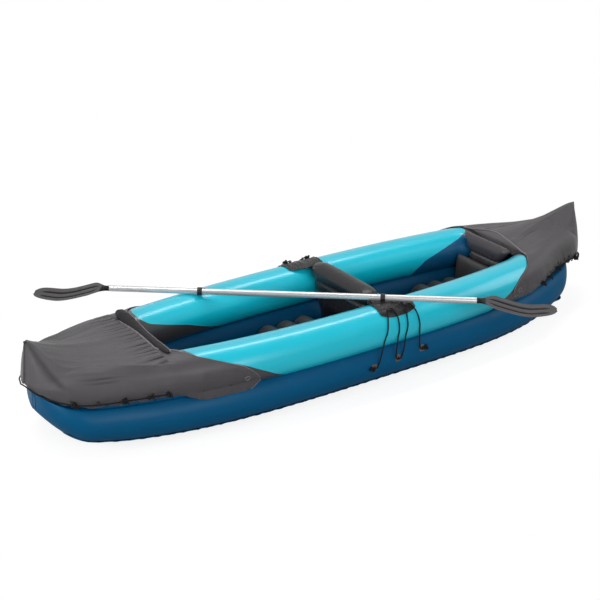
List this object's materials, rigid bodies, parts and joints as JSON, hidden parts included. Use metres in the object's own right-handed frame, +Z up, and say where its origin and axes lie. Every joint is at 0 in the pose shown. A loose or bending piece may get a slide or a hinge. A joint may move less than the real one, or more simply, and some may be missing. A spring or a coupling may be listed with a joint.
{
  "type": "tandem kayak",
  "caption": "Tandem inflatable kayak with laced end covers, fluted floor, seat cushions, leaning backrests, screw valves and a take-apart paddle laid across it.",
  "frame": {"origin": "on the flat bottom, at the middle of the boat's length and width", "axes": "+X aft, +Y starboard, +Z up"},
  "size_m": [3.2726, 1.6471, 0.511],
  "materials": {
    "tube_navy": "satin vinyl sheet",
    "tube_turquoise": "satin vinyl sheet",
    "floor_navy": "dull vinyl sheet",
    "cover_grey": "coated cloth",
    "cushion_grey": "dull vinyl sheet",
    "cushion_dark": "dull vinyl sheet",
    "valve_dark": "moulded plastic",
    "cap_grey": "moulded plastic",
    "cord_black": "braided cord",
    "loop_black": "moulded plastic",
    "shaft_silver": "satin anodised",
    "collar_black": "moulded rubber",
    "button_steel": "brushed",
    "blade_dark": "moulded plastic"
  },
  "bodies": {
    "hull": {"lower_tube_port": "tube_navy", "lower_tube_starboard": "tube_navy", "upper_tube_port": "tube_turquoise", "upper_tube_starboard": "tube_turquoise", "bottom_sheet": "tube_navy", "floor_pad": "floor_navy", "bow_deck": "cover_grey", "stern_deck": "cover_grey", "bow_roll": "cushion_grey", "front_seat": "cushion_dark", "rear_seat": "cushion_dark", "lumbar_cushion": "cushion_dark", "flap_port": "cover_grey", "flap_starboard": "cover_grey", "lace_port": "cord_black", "lace_starboard": "cord_black", "lace_tabs_port": "loop_black", "lace_tabs_starboard": "loop_black", "lace_eyes_port": "loop_black", "lace_eyes_starboard": "loop_black", "bow_cord": "cord_black", "stern_cord": "cord_black", "bow_loops": "loop_black", "stern_loops": "loop_black", "upper_valve_port": "valve_dark", "upper_valve_starboard": "valve_dark", "lower_valve": "valve_dark", "floor_valve": "valve_dark"},
    "front_back": {"front_backrest": "cushion_grey", "front_back_stopper": "valve_dark"},
    "rear_back": {"rear_backrest": "cushion_grey", "rear_back_stopper": "valve_dark"},
    "upper_cap_port": {"upper_cap_port": "cap_grey"},
    "upper_cap_starboard": {"upper_cap_starboard": "cap_grey"},
    "lower_cap": {"lower_cap": "cap_grey"},
    "floor_cap": {"floor_cap": "cap_grey"},
    "paddle": {"centre_shaft": "shaft_silver", "end_shaft_port": "shaft_silver", "end_shaft_starboard": "shaft_silver", "ferrule_port": "shaft_silver", "ferrule_starboard": "shaft_silver", "collar_port": "collar_black", "collar_starboard": "collar_black", "button_spring_port": "button_steel", "button_spring_starboard": "button_steel", "blade_port": "blade_dark", "blade_starboard": "blade_dark"},
    "button_port": {"button_port": "button_steel"},
    "button_starboard": {"button_starboard": "button_steel"}
  },
  "joints": [
    {"name": "front_back_lean", "type": "hinge", "parent": "hull", "child": "front_back", "pos_m": [0.06, 0, 0.07615], "axis": [0, 1, 0], "range_deg": [0, 8], "stiffness_Nm_per_rad": 25},
    {"name": "rear_back_lean", "type": "hinge", "parent": "hull", "child": "rear_back", "pos_m": [0.98, 0, 0.07905], "axis": [0, 1, 0], "range_deg": [0, 5], "stiffness_Nm_per_rad": 25},
    {"name": "upper_cap_port_turn", "type": "hinge", "parent": "hull", "child": "upper_cap_port", "pos_m": [1.11125, -0.0773, 0.2887], "axis": [-0.4782, 0.8783, 0], "range_deg": [0, 180]},
    {"name": "upper_cap_starboard_turn", "type": "hinge", "parent": "hull", "child": "upper_cap_starboard", "pos_m": [1.11125, 0.0773, 0.2887], "axis": [-0.4782, -0.8783, 0], "range_deg": [0, 180]},
    {"name": "lower_cap_turn", "type": "hinge", "parent": "hull", "child": "lower_cap", "pos_m": [1.06212, -0.11707, 0.12319], "axis": [-0.2948, 0.9556, 0], "range_deg": [0, 180]},
    {"name": "floor_cap_turn", "type": "hinge", "parent": "hull", "child": "floor_cap", "pos_m": [1.067, 0, 0.07436], "axis": [0.0806, 0, 0.9967], "range_deg": [0, 180]},
    {"name": "paddle_lift", "type": "slide", "parent": "hull", "child": "paddle", "axis": [0, 0, 1], "range_m": [0, 0.6]},
    {"name": "button_port_press", "type": "slide", "parent": "paddle", "child": "button_port", "axis": [0.005, -0.0042, -1], "range_m": [0, 0.0056], "stiffness_N_per_m": 800},
    {"name": "button_starboard_press", "type": "slide", "parent": "paddle", "child": "button_starboard", "axis": [0.005, -0.0042, -1], "range_m": [0, 0.0056], "stiffness_N_per_m": 800}
  ]
}
